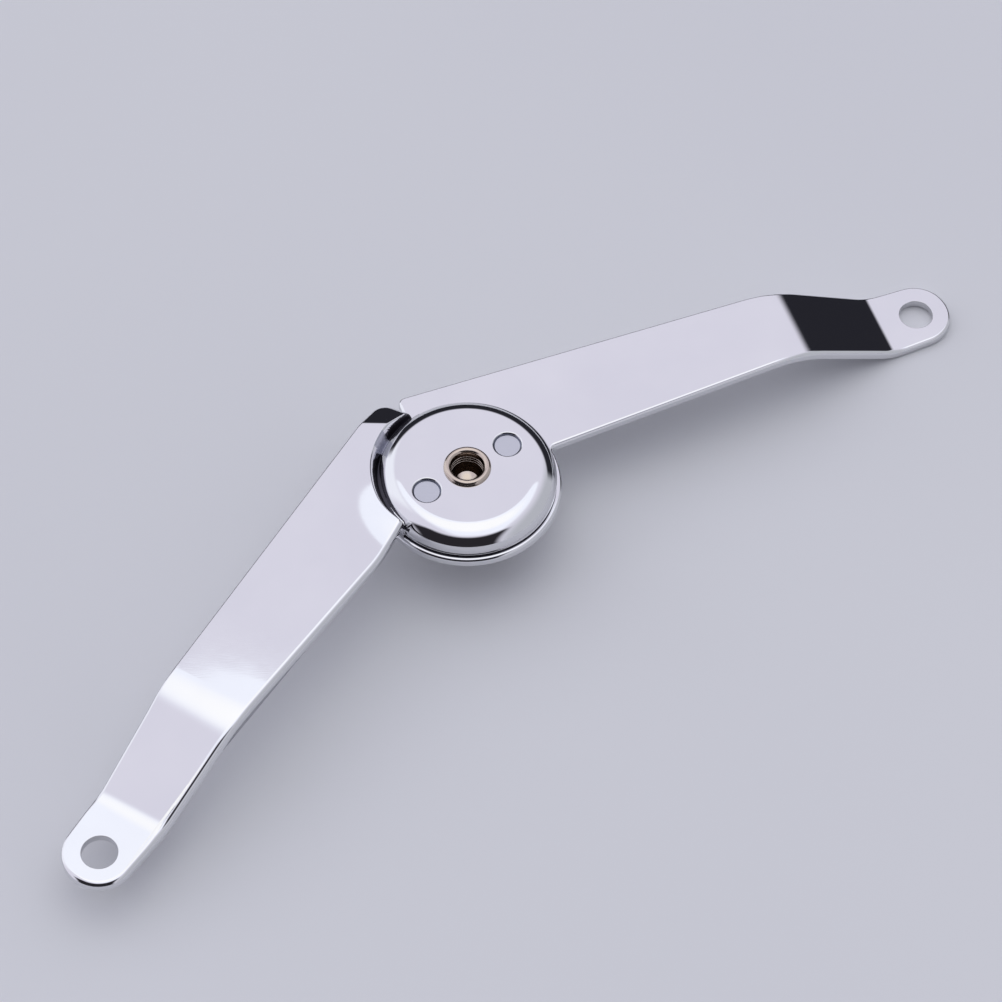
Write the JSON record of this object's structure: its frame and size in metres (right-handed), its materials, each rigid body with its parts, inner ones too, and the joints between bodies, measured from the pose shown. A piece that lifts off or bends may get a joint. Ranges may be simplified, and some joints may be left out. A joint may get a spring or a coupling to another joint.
{
  "type": "cabinet hinge",
  "caption": "Any-stop lid stay: pressed steel arms with cranked screw ears, turning on a round riveted friction hub, for a cabinet lid or flap.",
  "frame": {"origin": "centre of the fixed arm's screw hole, on the face that lies on the cabinet side", "axes": "+Z along the pivot, from the cabinet side out to the hub's cap; +X to the right and +Y to the back as the stay lies open in front of the viewer"},
  "size_m": [0.1941, 0.1681, 0.0226],
  "materials": {
    "chromed_steel": "bright chrome plating on pressed steel",
    "nickel_plated_rivet": "bright nickel plating, slightly warm",
    "zinc_plated_steel": "satin zinc plating",
    "spring_steel": "blued spring steel",
    "friction_plastic": "natural acetal"
  },
  "bodies": {
    "fixed_side": {"fixed_arm": "chromed_steel", "pivot_rivet": "nickel_plated_rivet", "rivet_washer": "zinc_plated_steel", "anchor_plate": "zinc_plated_steel", "fixed_friction_disc": "friction_plastic", "disc_spring": "spring_steel"},
    "moving_side": {"moving_arm": "chromed_steel", "drive_plate": "zinc_plated_steel", "moving_friction_disc": "friction_plastic"}
  },
  "joints": [
    {"name": "hub_pivot", "type": "hinge", "parent": "fixed_side", "child": "moving_side", "pos_m": [-0.10333, -0.05931, 0.0187], "axis": [0, 0, 1], "range_deg": [-30, 150]}
  ]
}
